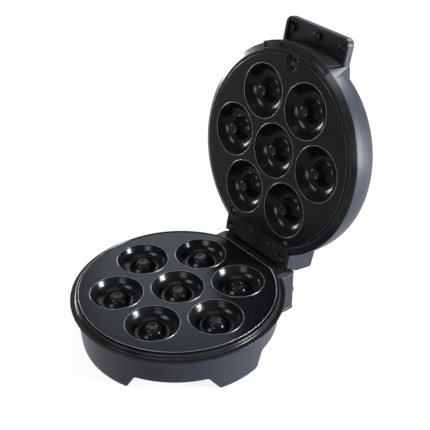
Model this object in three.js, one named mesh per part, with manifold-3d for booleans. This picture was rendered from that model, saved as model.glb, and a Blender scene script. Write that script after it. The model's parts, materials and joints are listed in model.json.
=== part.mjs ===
// Round electric donut maker with seven ring moulds in each half, lid open.
// Millimetres, +Z up. X runs along the hinge, -Y is the front and +Y the hinge side.
// The pieces are drawn about the axis of the round body; at the end the whole model moves
// so that the origin lies on the floor under the middle of the open object's outline.

import * as THREE from 'three';
import { mergeVertices } from 'three/addons/utils/BufferGeometryUtils.js';
import { ConvexGeometry } from 'three/addons/geometries/ConvexGeometry.js';
import Module from 'manifold-3d';

const wasm = await Module();
wasm.setup();

// ---------------------------------------------------------------- driving dimensions

const GAP = 0.35; // air left between neighbouring pieces
const WALL = 2.4; // thickness of the moulded housings
const SEGMENTS = 40; // sides of the large round shapes
const SMALL = 10; // sides of pins, screws and lenses
const MOULD_SEGMENTS = 16; // sides of one ring mould
const CURVE_SEGMENTS = 4; // steps along a rounded corner

const PLATE_Z = 50.5; // height of the lower mould plate's face above the floor
const LID_Z = PLATE_Z + 0.6; // face of the upper mould plate when the lid is closed
const HINGE_Y = 99.5;
const HINGE_Z = PLATE_Z + 6.3;
const LID_OPEN = THREE.MathUtils.degToRad(102.6); // lid against its stop
const OUTLINE_MIDDLE_Y = 35.9; // middle of the open object's depth, from the body axis

const PLATE_R = 93; // rim of both mould plates
const PLATE_T = 2.6;
const LOWER_CHORD_Y = 86.6; // straight edge of the lower plate, along the hinge
const UPPER_CHORD_Y = 83.4;
const TAB_Z = PLATE_Z + 1.2; // face of the lid trim's tab along the hinge
const PITCH = 57; // centre to centre of neighbouring moulds
const MOULD_R = 24.8; // mouth of one ring mould
const MOULD_DEPTH = 12;
const CUP_DEPTH = 14.4; // outside depth of the cast cup
const POST_R = 5; // flat tip of the post in the middle of a mould

const LEDGE_Z = PLATE_Z - 5; // flat ledge around the base
const LEDGE_R = 100.8;
const LEG_Z = 1; // underside of the moulded legs
const ARCH_Z = 17; // lower edge of the housing between the legs
const HINGE_HALF = 46; // half width of the hinge housings
const HINGE_BACK = 105.5; // rear face of the base's hinge housing
const INLET_Z = 31; // height of the mains lead's inlet
const EAR_IN = 33; // hinge ears, distance from the middle plane
const EAR_OUT = 40;
const EAR_R = 5.3;
const EAR_SLOT = [EAR_IN - 0.7, EAR_OUT + 0.7];
const PIN_R = 2;

const LID_EDGE_R = 100.9;
const LID_EDGE_Z = PLATE_Z + 4.4;
const HANDLE_HALF = 40.5;
const HANDLE_TIP = 118.5;
const HANDLE_TOP = PLATE_Z + 32.5;
const HANDLE_RIM = PLATE_Z + 24.6; // lower edge of the handle's side walls
const TRAY_Z = PLATE_Z + 29.6; // upper side of the black tray under the handle
const LATCH_HALF_ANGLE = 25; // degrees, raised front part of the lid trim

const ELEMENT_R = 57; // centre line of the tubular heaters
const ELEMENT_TUBE_R = 3.3;

const TRIM_IN_R = 89.5; // inner edge of both trims, under the plates' flanges
const LOWER_SEAT_Z = PLATE_Z - PLATE_T - GAP; // where the lower plate's flange rests
const UPPER_SEAT_Z = LID_Z + PLATE_T + GAP;
const TRIM_TOP_Z = PLATE_Z + 6.3; // upper side of the lid trim
const COVER_Z = [17.2, 19.6]; // bottom cover, just above the arches
const FOOT_R = 5;
const FOOT_T = 2.65;
const REAR_FOOT = [36, 97];

// ---------------------------------------------------------------- materials

const finish = (color, roughness, metalness = 0) => ({ color, roughness, metalness });
const GREY_SHELL = finish(0x6c7078, 0.38);
const BLACK_PLASTIC = finish(0x0b0b0d, 0.35);
const NON_STICK = finish(0x26282d, 0.4, 0.3);
const STEEL = finish(0xb4b6ba, 0.35, 1);
const GALVANISED = finish(0x9a9c9e, 0.5, 1);
const HEATER = finish(0x4a4743, 0.55, 0.8);
const RUBBER = finish(0x141414, 0.85);
const CERAMIC = finish(0xe6e2d6, 0.6);
const BAKELITE = finish(0x2a1c14, 0.5);
const RED_LENS = finish(0xc01818, 0.15);
const GREEN_LENS = finish(0x1ca03a, 0.15);

// ---------------------------------------------------------------- geometry helpers

function closed(geometry) {
  const bare = geometry.clone();
  bare.deleteAttribute('normal');
  bare.deleteAttribute('uv');
  const merged = mergeVertices(bare, 1e-4);
  const point = merged.attributes.position;
  const corners = merged.index.array;
  const triangles = [];
  let volume = 0;
  const [a, b, c] = [new THREE.Vector3(), new THREE.Vector3(), new THREE.Vector3()];
  for (let i = 0; i < corners.length; i += 3) {
    const [p, q, r] = corners.slice(i, i + 3);
    if (p === q || q === r || r === p) continue;
    triangles.push(p, q, r);
    a.fromBufferAttribute(point, p);
    b.fromBufferAttribute(point, q);
    c.fromBufferAttribute(point, r);
    volume += a.dot(b.cross(c));
  }
  if (volume < 0) triangles.reverse();
  return new wasm.Manifold(new wasm.Mesh({
    numProp: 3,
    vertProperties: new Float32Array(point.array),
    triVerts: new Uint32Array(triangles),
  }));
}

function toGeometry(solid) {
  const mesh = solid.getMesh();
  const geometry = new THREE.BufferGeometry();
  geometry.setAttribute('position', new THREE.BufferAttribute(mesh.vertProperties, 3));
  geometry.setIndex(new THREE.BufferAttribute(mesh.triVerts, 1));
  geometry.computeVertexNormals();
  return geometry;
}

const join = (...solids) => solids.reduce((sum, next) => sum.add(next));
const cut = (solid, ...tools) => tools.reduce((rest, tool) => rest.subtract(tool), solid);
const both = (make) => join(make(-1), make(1));
const mirrored = (side, near, far) => (side < 0 ? [-far, -near] : [near, far]);

// Solid of revolution about a vertical axis at (x, y); profile points are [radius, height].
function turned(profile, { x = 0, y = 0, segments = SEGMENTS } = {}) {
  const points = profile.map(([r, z]) => new THREE.Vector2(r, z));
  const onAxis = profile[0][0] === 0 && profile.at(-1)[0] === 0;
  if (!onAxis) points.push(points[0].clone());
  const geometry = new THREE.LatheGeometry(points, segments);
  return closed(geometry.rotateX(Math.PI / 2).translate(x, y, 0));
}

function box([x0, x1], [y0, y1], [z0, z1]) {
  const geometry = new THREE.BoxGeometry(x1 - x0, y1 - y0, z1 - z0);
  return closed(geometry.translate((x0 + x1) / 2, (y0 + y1) / 2, (z0 + z1) / 2));
}

const polygon = (points) => new THREE.Shape(points.map(([u, v]) => new THREE.Vector2(u, v)));

function extruded(shape, depth, basis, origin) {
  const settings = { depth, bevelEnabled: false, curveSegments: CURVE_SEGMENTS };
  const geometry = new THREE.ExtrudeGeometry(shape, settings);
  geometry.applyMatrix4(new THREE.Matrix4().makeBasis(...basis));
  return closed(geometry.translate(...origin));
}

const X = new THREE.Vector3(1, 0, 0);
const Y = new THREE.Vector3(0, 1, 0);
const Z = new THREE.Vector3(0, 0, 1);

// Extrusions of an outline drawn in plan (x, y), or in side view (y, z).
const alongZ = (shape, z0, z1) => extruded(shape, z1 - z0, [X, Y, Z], [0, 0, z0]);
const alongX = (shape, x0, x1) => extruded(shape, x1 - x0, [Y, Z, X], [x0, 0, 0]);

// Flat disc between two heights, with a straight edge at y = chord.
const chordDisc = (radius, chord, z0, z1) =>
  rod(radius, 0, 0, z0, z1, SEGMENTS).intersect(box([-200, 200], [-200, chord], [z0 - 1, z1 + 1]));

function roundedBlock(halfWidth, back, front, corner) {
  const shape = new THREE.Shape();
  shape.moveTo(-halfWidth, back);
  shape.lineTo(-halfWidth, -front + corner);
  shape.quadraticCurveTo(-halfWidth, -front, -halfWidth + corner, -front);
  shape.lineTo(halfWidth - corner, -front);
  shape.quadraticCurveTo(halfWidth, -front, halfWidth, -front + corner);
  shape.lineTo(halfWidth, back);
  return shape;
}

function rodAlongX(radius, x0, x1, y, z, segments = SMALL) {
  const geometry = new THREE.CylinderGeometry(radius, radius, x1 - x0, segments);
  return closed(geometry.rotateZ(Math.PI / 2).translate((x0 + x1) / 2, y, z));
}

function rodAlongY(radius, y0, y1, x, z, segments = SMALL) {
  const geometry = new THREE.CylinderGeometry(radius, radius, y1 - y0, segments);
  return closed(geometry.translate(x, (y0 + y1) / 2, z));
}

const rod = (radius, x, y, z0, z1, segments = SMALL) =>
  turned([[0, z0], [radius, z0], [radius, z1], [0, z1]], { x, y, segments });

// Pan-head screw: head from zHead towards the shank tip at zTip.
function screw(x, y, zHead, zTip, headR = 3, shankR = 1.4) {
  const neck = zHead + Math.sign(zTip - zHead) * 1.8;
  const profile = [[0, zHead], [headR, zHead], [headR, neck], [shankR, neck], [shankR, zTip], [0, zTip]];
  return turned(profile, { x, y, segments: 8 });
}

// ---------------------------------------------------------------- mould plates

const mouldCentres = [[0, 0]];
for (let k = 0; k < 6; k += 1) {
  const angle = (k * Math.PI) / 3;
  mouldCentres.push([PITCH * Math.cos(angle), PITCH * Math.sin(angle)]);
}

// One mould, drawn with the plate face at 0 and depths negative. tip is the post's height.
function mouldProfiles(tip) {
  const cavity = [
    [0, 4], [MOULD_R, 4], [MOULD_R, 0], [21.4, -8.8], [14.5, -MOULD_DEPTH], [7.6, -7.4],
    [POST_R, tip], [0, tip],
  ];
  const cup = [[0, -1], [26.9, -1], [23.4, -10.4], [16.5, -CUP_DEPTH], [0, -CUP_DEPTH]];
  const hollow = [[0, -16], [6.5, -16], [4.2, -6], [0, -6]];
  return { cavity, cup, hollow };
}

// side is 1 for the upper plate, whose moulds point up, and -1 for the lower plate.
function mouldPlate(side, faceZ, outline, tip, extras, cutters) {
  const place = (profile) => profile.map(([r, z]) => [r, faceZ - side * z]);
  const { cavity, cup, hollow } = mouldProfiles(tip);
  const back = faceZ + side * PLATE_T;
  let plate = chordDisc(...outline, Math.min(faceZ, back), Math.max(faceZ, back));
  plate = join(plate, ...extras);
  for (const [x, y] of mouldCentres) {
    plate = plate.add(turned(place(cup), { x, y, segments: MOULD_SEGMENTS }));
  }
  for (const [x, y] of mouldCentres) {
    const spot = { x, y, segments: MOULD_SEGMENTS };
    plate = cut(plate, turned(place(cavity), spot), turned(place(hollow), spot));
    const post = [[0, -3], [5.6, -3], [POST_R, tip], [0, tip]];
    if (tip > 0) plate = plate.add(turned(place(post), spot));
  }
  return cut(plate, ...cutters);
}

function lowerPlate() {
  const bead = turned([
    [PLATE_R - 1.6, PLATE_Z - 1], [PLATE_R, PLATE_Z - 1], [PLATE_R, PLATE_Z + 0.4],
    [PLATE_R - 0.6, PLATE_Z + 0.9], [PLATE_R - 1.6, PLATE_Z + 0.9],
  ]);
  const beyondChord = box([-60, 60], [LOWER_CHORD_Y, 110], [0, 80]);
  const chordBead = box([-33, 33], [LOWER_CHORD_Y - 1.6, LOWER_CHORD_Y], [PLATE_Z - 1, PLATE_Z + 0.5]);
  const outline = [PLATE_R, LOWER_CHORD_Y];
  return mouldPlate(-1, PLATE_Z, outline, -2.8, [cut(bead, beyondChord), chordBead], []);
}

const UPPER_SCREWS = { front: [0, -84.5], left: [-37.5, 81], right: [37.5, 81] };

function upperPlate() {
  const notch = join(
    box([-5, 5], [-100, UPPER_SCREWS.front[1]], [LID_Z - 4, LID_Z + 4]),
    rod(5, ...UPPER_SCREWS.front, LID_Z - 4, LID_Z + 4),
    rod(5.6, ...UPPER_SCREWS.left, LID_Z - 4, LID_Z + 4),
    rod(5.6, ...UPPER_SCREWS.right, LID_Z - 4, LID_Z + 4),
  );
  const rebate = turned([
    [PLATE_R - 2, LID_Z - 1], [PLATE_R + 3, LID_Z - 1], [PLATE_R + 3, LID_Z + 1], [PLATE_R - 2, LID_Z + 1],
  ]);
  const outline = [PLATE_R - 0.4, UPPER_CHORD_Y];
  return mouldPlate(1, LID_Z, outline, 2, [], [notch, rebate]);
}

// ---------------------------------------------------------------- base housing

// Outer wall of the base from the legs up to the ledge, as [radius, height].
const BASE_WALL = [[91.8, LEG_Z], [94.4, 7], [97, ARCH_Z], [99, 32], [100.3, LEDGE_Z - 2.6]];

// Radial direction at an angle measured from the handle side towards +X.
const radial = (degrees) => {
  const angle = THREE.MathUtils.degToRad(degrees);
  return new THREE.Vector3(Math.sin(angle), -Math.cos(angle), 0);
};

function archCutter(degrees, halfTop, halfBottom) {
  const out = radial(degrees);
  const along = new THREE.Vector3().crossVectors(Z, out);
  const shape = polygon([[-halfBottom, -1], [halfBottom, -1], [halfTop, ARCH_Z], [-halfTop, ARCH_Z]]);
  return extruded(shape, 60, [along, Z, out], out.clone().multiplyScalar(60).toArray());
}

const LEGS = [['front', 0, 34], ['right', 90, 19], ['left', -90, 19]]; // angle, half width
const LEG_PAD_R = 86.6; // radius of the circle on which the rubber feet lie
const BOSS_ANGLES = [45, 135, 225, 315];
const BOSS_R = 88;

function baseShell() {
  const inner = BASE_WALL.map(([r, z]) => [r - WALL, z]).reverse();
  let shell = turned([...BASE_WALL, ...inner]);

  for (const side of [-1, 1]) {
    shell = cut(shell, archCutter(side * 49.2, 34, 41.5), archCutter(side * 131, 41, 44));
  }

  // Floor of each leg, with a round pocket for its rubber foot.
  for (const [, degrees, half] of LEGS) {
    const out = radial(degrees);
    const along = new THREE.Vector3().crossVectors(Z, out);
    const pad = polygon([[-half, LEG_Z], [half, LEG_Z], [half, 5], [-half, 5]]);
    const floor = extruded(pad, 30, [along, Z, out], out.clone().multiplyScalar(79).toArray());
    const foot = out.clone().multiplyScalar(LEG_PAD_R);
    shell = join(shell, floor.intersect(turned([[0, 0], [90.6, 0], [92.4, 6], [0, 6]])));
    shell = cut(shell, rod(FOOT_R + GAP, foot.x, foot.y, 0, FOOT_T + GAP));
  }

  // Hinge housing behind the round wall.
  const outer = box([-HINGE_HALF, HINGE_HALF], [84, HINGE_BACK], [4.8, LEDGE_Z - 2.6]);
  const room = box([WALL - HINGE_HALF, HINGE_HALF - WALL], [60, HINGE_BACK - WALL], [0, 60]);
  shell = cut(join(shell, outer), room);

  // Screw bosses for the bottom cover, tied to the wall by a rib.
  for (const degrees of BOSS_ANGLES) {
    const out = radial(degrees);
    const along = new THREE.Vector3().crossVectors(Z, out);
    const boss = out.clone().multiplyScalar(BOSS_R);
    const ribSide = polygon([[-1.2, 20], [1.2, 20], [1.2, 38], [-1.2, 38]]);
    const rib = extruded(ribSide, 9.5, [along, Z, out], boss.toArray());
    shell = join(shell, rod(4, boss.x, boss.y, 20, 38), rib);
    shell = cut(shell, rod(1.75, boss.x, boss.y, 19, 33));
  }

  return cut(shell, rodAlongY(5, 100, 110, 0, INLET_Z));
}

const LOWER_SCREW_R = 84.2;
const LOWER_SCREWS = [0, 120, 240].map((degrees) => {
  const spot = radial(degrees).multiplyScalar(LOWER_SCREW_R);
  return [spot.x, spot.y];
});

function baseTrim() {
  const ring = turned([
    [TRIM_IN_R, LEDGE_Z - 0.2], [TRIM_IN_R, LOWER_SEAT_Z], [PLATE_R + GAP, LOWER_SEAT_Z],
    [PLATE_R + GAP, PLATE_Z - 0.4], [94.8, PLATE_Z - 0.3], [95.6, PLATE_Z - 1.2], [95.8, LEDGE_Z],
    [LEDGE_R - 0.3, LEDGE_Z], [LEDGE_R, LEDGE_Z - 0.5], [LEDGE_R, LEDGE_Z - 2.2], [91.5, LEDGE_Z - 2.2],
  ]);

  // Hinge cover: level behind the plate, then sloping down to the rear edge.
  const cover = alongX(polygon([
    [80, LEDGE_Z - 2.2], [HINGE_BACK, LEDGE_Z - 2.2], [HINGE_BACK, PLATE_Z - 4.7],
    [93, PLATE_Z - 0.3], [80, PLATE_Z - 0.3],
  ]), -HINGE_HALF, HINGE_HALF);
  const pocket = chordDisc(PLATE_R + GAP, LOWER_CHORD_Y + GAP, LOWER_SEAT_Z, PLATE_Z + 9);
  const middle = chordDisc(TRIM_IN_R, LOWER_CHORD_Y - 3, 0, PLATE_Z + 9);
  let trim = cut(join(ring, cover), pocket, middle);

  const ear = new THREE.Shape();
  ear.moveTo(HINGE_Y - EAR_R, PLATE_Z - 4);
  ear.lineTo(HINGE_Y + EAR_R, PLATE_Z - 6);
  ear.lineTo(HINGE_Y + EAR_R, HINGE_Z);
  ear.absarc(HINGE_Y, HINGE_Z, EAR_R, 0, Math.PI, false);
  const roundEar = (x0, x1) => {
    const settings = { depth: x1 - x0, bevelEnabled: false, curveSegments: 10 };
    const geometry = new THREE.ExtrudeGeometry(ear, settings);
    return closed(geometry.applyMatrix4(new THREE.Matrix4().makeBasis(Y, Z, X)).translate(x0, 0, 0));
  };
  trim = join(trim, roundEar(-EAR_OUT, -EAR_IN), roundEar(EAR_IN, EAR_OUT));

  // Lugs under the plate's flange for its three screws.
  for (const [x, y] of LOWER_SCREWS) {
    const out = new THREE.Vector3(x, y, 0).normalize();
    const along = new THREE.Vector3().crossVectors(Z, out);
    const lug = polygon([[-6, PLATE_Z - 5.2], [6, PLATE_Z - 5.2], [6, LOWER_SEAT_Z], [-6, LOWER_SEAT_Z]]);
    trim = join(trim, extruded(lug, 12, [along, Z, out], out.clone().multiplyScalar(79.5).toArray()));
    trim = cut(trim, rod(1.8, x, y, 0, 60));
  }
  return cut(trim, rodAlongX(PIN_R + GAP, -60, 60, HINGE_Y, HINGE_Z));
}

function rearPlinth() {
  const block = box([-HINGE_HALF, HINGE_HALF], [88, HINGE_BACK + 0.3], [LEG_Z, 4.5]);
  const pockets = both((side) => rod(FOOT_R + GAP, side * REAR_FOOT[0], REAR_FOOT[1], 0, FOOT_T + GAP));
  return cut(block, pockets);
}

function bottomCover() {
  const disc = rod(93.9, 0, 0, ...COVER_Z, SEGMENTS);
  const half = HINGE_HALF - WALL - GAP;
  const tongue = box([-half, half], [70, HINGE_BACK - WALL - GAP], COVER_Z);
  let cover = join(disc, tongue);
  for (const degrees of BOSS_ANGLES) {
    const boss = radial(degrees).multiplyScalar(BOSS_R);
    cover = cut(cover, rod(1.8, boss.x, boss.y, 0, 30));
  }
  // Vent slots in the middle.
  for (let k = -3; k <= 3; k += 1) {
    cover = cut(cover, box([k * 9 - 1.5, k * 9 + 1.5], [-22, 22], [10, 30]));
  }
  return cover;
}

// ---------------------------------------------------------------- heating parts

// Tubular heater: almost a full ring, with both ends led out towards the hinge.
function heatingElement(z, endY) {
  const halfGap = 16;
  const start = Math.asin(halfGap / ELEMENT_R);
  const bendY = (endY + ELEMENT_R) / 2 + 2;
  const points = [new THREE.Vector3(halfGap, endY, z), new THREE.Vector3(halfGap, bendY, z)];
  const steps = 18;
  for (let k = 0; k <= steps; k += 1) {
    const angle = start + ((2 * Math.PI - 2 * start) * k) / steps;
    points.push(new THREE.Vector3(ELEMENT_R * Math.sin(angle), ELEMENT_R * Math.cos(angle), z));
  }
  points.push(new THREE.Vector3(-halfGap, bendY, z), new THREE.Vector3(-halfGap, endY, z));
  const path = new THREE.CatmullRomCurve3(points, false, 'centripetal');
  const section = [];
  for (let k = 0; k < 8; k += 1) {
    const angle = (k * Math.PI) / 4;
    section.push([ELEMENT_TUBE_R * Math.cos(angle), ELEMENT_TUBE_R * Math.sin(angle)]);
  }
  const settings = { steps: 38, bevelEnabled: false, extrudePath: path };
  return closed(new THREE.ExtrudeGeometry(polygon(section), settings));
}

const LOWER_ELEMENT_Z = PLATE_Z - CUP_DEPTH - 0.3 - ELEMENT_TUBE_R;
const UPPER_ELEMENT_Z = LID_Z + CUP_DEPTH + 0.3 + ELEMENT_TUBE_R;

// Sheet pan with a short folded edge; fold is -1 down or 1 up.
function heatShield(z, fold) {
  const sheet = 0.8;
  const edge = z + fold * 4;
  return turned([[0, z], [79, z], [79, edge], [80, edge], [80, z - fold * sheet], [0, z - fold * sheet]]);
}

function thermostat() {
  const body = rod(8, 0, 72, PLATE_Z - 13, LOWER_SEAT_Z);
  const tabZ = [PLATE_Z - 17, PLATE_Z - 12];
  const tabs = both((side) => box(mirrored(side, 2.5, 5.5), [71.6, 72.4], tabZ));
  return join(body, tabs);
}

function thermalFuse() {
  const geometry = new THREE.CylinderGeometry(2.2, 2.2, 24, SMALL);
  const angle = THREE.MathUtils.degToRad(-60);
  return closed(geometry.rotateZ(angle - Math.PI / 2).translate(-71, -41, PLATE_Z - 5.4));
}

function terminalBlock([x0, x1], [y0, y1], [z0, z1]) {
  const ways = 3;
  const step = (x1 - x0) / ways;
  let block = box([x0, x1], [y0, y1], [z0, z1]);
  for (let k = 0; k < ways; k += 1) {
    block = cut(block, rodAlongY(1.5, y0 - 1, y1 + 1, x0 + (k + 0.5) * step, (z0 + z1) / 2, 8));
  }
  return block;
}

// ---------------------------------------------------------------- lid, drawn closed

// Outer wall of the lid from its lower edge up to the crown, and the hollow inside it.
const LID_WALL = [
  [LID_EDGE_R, LID_EDGE_Z], [100.7, PLATE_Z + 12], [99.2, PLATE_Z + 22], [95.9, PLATE_Z + 29.6],
  [89, PLATE_Z + 34.2], [66, PLATE_Z + 38.2], [34, PLATE_Z + 40.4], [0, PLATE_Z + 41],
];
const LID_ROOM = [
  [98.4, PLATE_Z + 12], [96.8, PLATE_Z + 21.5], [93.8, PLATE_Z + 27.8],
  [88, PLATE_Z + 31.8], [66, PLATE_Z + 35.7], [0, PLATE_Z + 38.5],
];

const HOUSING_Z = PLATE_Z + 2.7; // lower edge of the lid's hinge housing
const LENS_SPOTS = { power: [-9, -62], ready: [9, -62] };
const HANDLE_SCREWS = { left: [-33, -108], middle: [0, -109.5], right: [33, -108] };

function lidShell() {
  const dome = turned([[0, LID_EDGE_Z], ...LID_WALL]);
  const room = turned([[0, 0], [98.5, 0], ...LID_ROOM]);

  // Hinge housing of the lid, in side view.
  const housing = (inset) => polygon([
    [70, HOUSING_Z - inset * 9], [103.8 - inset, HOUSING_Z - inset * 9], [103.8 - inset, HOUSING_Z],
    [109.2 - inset, PLATE_Z + 17.2], [108.5 - inset, PLATE_Z + 37.2 - inset],
    [92, PLATE_Z + 38.2 - inset], [70, PLATE_Z + 38.4 - inset],
  ]);
  const block = alongX(housing(0), -HINGE_HALF, HINGE_HALF);
  const blockRoom = alongX(housing(WALL), WALL - HINGE_HALF, HINGE_HALF - WALL);
  const earSlots = both((side) => box(mirrored(side, ...EAR_SLOT), [90, 115], [0, PLATE_Z + 16]));

  // Handle tongue, flared where it leaves the wall.
  const tongue = alongZ(roundedBlock(HANDLE_HALF, -80, HANDLE_TIP, 6), HANDLE_RIM, HANDLE_TOP);
  const cheek = (side) => closed(new ConvexGeometry([
    [40.3, -92.4, LID_EDGE_Z], [42.4, -91.4, LID_EDGE_Z], [50.2, -87.3, LID_EDGE_Z], [46, -82, LID_EDGE_Z],
    [40.3, -84, LID_EDGE_Z], [HANDLE_HALF, -95, HANDLE_TOP], [44, -83, HANDLE_TOP], [40.3, -82, HANDLE_TOP],
    [40.3, -94.2, HANDLE_TOP],
  ].map(([x, y, z]) => new THREE.Vector3(side * x, y, z))));
  const trayShape = roundedBlock(HANDLE_HALF - WALL, -60, HANDLE_TIP - WALL, 4);
  const tray = cut(alongZ(trayShape, HANDLE_RIM - 5, TRAY_Z + GAP), rod(LID_EDGE_R, 0, 0, 0, 110, SEGMENTS));

  let shell = join(dome, block, tongue, both(cheek));
  shell = cut(shell, room, blockRoom, earSlots, tray);

  // Ribs that carry the hinge pins beside each ear.
  const ribShape = polygon([
    [93, PLATE_Z + 3], [103.6, PLATE_Z + 3], [107, PLATE_Z + 12.5],
    [107, PLATE_Z + 36.5], [93, PLATE_Z + 36.5],
  ]);
  shell = join(shell, both((side) => alongX(ribShape, ...mirrored(side, EAR_IN - 4, EAR_SLOT[0]))));
  shell = join(shell, both((side) => alongX(ribShape, ...mirrored(side, EAR_SLOT[1], HINGE_HALF - 1))));
  shell = cut(shell, both((side) => (
    rodAlongX(PIN_R + GAP, ...mirrored(side, EAR_IN - 6, HINGE_HALF - 1.4), HINGE_Y, HINGE_Z)
  )));

  for (const [x, y] of Object.values(LENS_SPOTS)) shell = cut(shell, rod(3.2 + GAP, x, y, LID_Z + 30, 110));
  for (const [x, y] of Object.values(HANDLE_SCREWS)) shell = cut(shell, rod(1.5, x, y, TRAY_Z, TRAY_Z + 2.1));
  const trimSpace = join(
    rod(98.4, 0, 0, 0, PLATE_Z + 6.65, SEGMENTS),
    rod(100.65, 0, 0, 0, LID_EDGE_Z, SEGMENTS),
  );
  return cut(shell, trimSpace);
}

function lidTrim() {
  const ring = turned([
    [TRIM_IN_R, UPPER_SEAT_Z], [PLATE_R, UPPER_SEAT_Z], [PLATE_R, PLATE_Z + 1.8], [95, PLATE_Z + 1.5],
    [100.3, PLATE_Z + 3.8], [100.3, LID_EDGE_Z - GAP], [98, LID_EDGE_Z - GAP],
    [98, TRIM_TOP_Z], [TRIM_IN_R, TRIM_TOP_Z],
  ]);

  // Raised front part under the handle.
  const latchRing = turned([
    [94.4, PLATE_Z + 2.2], [94.6, PLATE_Z + 0.8], [101.6, PLATE_Z + 3], [102.4, PLATE_Z + 3.6],
    [102.4, LID_EDGE_Z - GAP], [97, LID_EDGE_Z - GAP], [97, PLATE_Z + 2.6],
  ]);
  const reach = 130 * Math.tan(THREE.MathUtils.degToRad(LATCH_HALF_ANGLE));
  const wedge = alongZ(polygon([[0, 0], [-reach, -130], [reach, -130]]), 0, 80);

  // Tab along the hinge, under the lid's hinge housing.
  const tab = alongX(polygon([
    [78, TAB_Z], [98.7, TAB_Z], [98.7, PLATE_Z + 1.6], [103.4, PLATE_Z + 1.6], [103.4, PLATE_Z + 2.35],
    [94.5, PLATE_Z + 2.35], [94.5, TRIM_TOP_Z], [78, TRIM_TOP_Z],
  ]), 0.5 - HINGE_HALF, HINGE_HALF - 0.5);
  const aboveTab = box([-60, 60], [70, 98], [PLATE_Z + 2.35, 90]);
  const tabTrim = cut(tab, cut(aboveTab, rod(98, 0, 0, 0, 100, SEGMENTS)));

  const pocket = chordDisc(PLATE_R, UPPER_CHORD_Y + GAP, 0, UPPER_SEAT_Z);
  const middle = chordDisc(TRIM_IN_R, UPPER_CHORD_Y - 3, 0, PLATE_Z + 30);
  const lugs = Object.values(UPPER_SCREWS).map(([x, y]) => rod(5.5, x, y, UPPER_SEAT_Z, TRIM_TOP_Z));
  const wells = Object.values(UPPER_SCREWS).map(([x, y]) => rod(4.6, x, y, 0, UPPER_SEAT_Z));
  let trim = cut(join(ring, latchRing.intersect(wedge), tabTrim), pocket, middle, ...wells);
  trim = join(trim, ...lugs);
  const earSlots = both((side) => box(mirrored(side, ...EAR_SLOT), [93, 110], [0, PLATE_Z + 20]));
  trim = cut(trim, earSlots);
  for (const [x, y] of Object.values(UPPER_SCREWS)) trim = cut(trim, rod(1.75, x, y, 0, 90));
  return trim;
}

function handleCover() {
  const wallIn = LID_EDGE_R + 0.3;
  const wallOut = wallIn + 1.4;
  const inside = rod(wallIn, 0, 0, 0, 110, SEGMENTS);
  const half = HANDLE_HALF - WALL - GAP;
  const shell = alongZ(roundedBlock(half, -60, HANDLE_TIP - WALL - GAP, 4), HANDLE_RIM + 0.3, TRAY_Z);
  const recess = alongZ(roundedBlock(half - 1.5, -60, HANDLE_TIP - WALL - GAP - 1.5, 3), 0, TRAY_Z - 1.6);
  const beyondWall = cut(recess, rod(wallOut, 0, 0, 0, 110, SEGMENTS));
  const [low, high] = [PLATE_Z + 4.6, TRAY_Z - 0.8];
  const fingerWall = turned([[wallIn, low], [wallOut, low], [wallOut, high], [wallIn, high]]);
  const frontUpper = box([-half, half], [-130, 0], [0, 110]);
  const frontLower = box([-39.9, 39.9], [-130, 0], [0, HANDLE_RIM - 0.4]);
  let cover = join(cut(shell, inside, beyondWall), fingerWall.intersect(join(frontUpper, frontLower)));
  for (const [x, y] of Object.values(HANDLE_SCREWS)) {
    cover = join(cover, rod(4, x, y, TRAY_Z - 3, TRAY_Z - 1));
    cover = cut(cover, rod(1.5, x, y, 0, 110));
  }
  return cover;
}

const lens = ([x, y]) => turned([
  [0, PLATE_Z + 35], [3.2, PLATE_Z + 35], [3.2, PLATE_Z + 39.2], [1.8, PLATE_Z + 39.8], [0, PLATE_Z + 39.9],
], { x, y, segments: SMALL });

// ---------------------------------------------------------------- assembly

const model = new THREE.Group();
const base = new THREE.Group();
const lid = new THREE.Group();
const closedLid = new THREE.Group();
lid.position.set(0, HINGE_Y, HINGE_Z);
lid.rotation.x = -LID_OPEN;
closedLid.position.set(0, -HINGE_Y, -HINGE_Z);
lid.add(closedLid);
model.add(base, lid);
model.position.y = -OUTLINE_MIDDLE_Y;

function add(group, name, solid, material) {
  const mesh = new THREE.Mesh(toGeometry(solid), new THREE.MeshStandardMaterial(material));
  mesh.name = name;
  group.add(mesh);
}

add(base, 'base_shell', baseShell(), GREY_SHELL);
add(base, 'base_trim', baseTrim(), BLACK_PLASTIC);
add(base, 'rear_plinth', rearPlinth(), GREY_SHELL);
add(base, 'base_bottom_cover', bottomCover(), BLACK_PLASTIC);
add(base, 'lower_mould_plate', lowerPlate(), NON_STICK);
add(base, 'lower_heating_element', heatingElement(LOWER_ELEMENT_Z, 84), HEATER);
add(base, 'lower_heat_shield', heatShield(28.4, -1), GALVANISED);
add(base, 'thermostat', thermostat(), BAKELITE);
add(base, 'thermal_fuse', thermalFuse(), CERAMIC);
add(base, 'base_terminal_block', terminalBlock([-14, 14], [84, 98], [20, 31]), CERAMIC);

// Grommet for the mains lead, in the rear wall of the hinge housing.
const grommet = [[3.2, 0], [7, 0], [7, 3.5], [4.6, 3.5], [4.6, 7], [6, 7], [6, 8.5], [3.2, 8.5]];
const bush = toGeometry(turned(grommet, { segments: SMALL })).rotateX(Math.PI / 2);
add(base, 'cord_inlet_bush', closed(bush.translate(0, HINGE_BACK + 3.8, INLET_Z)), RUBBER);

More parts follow.
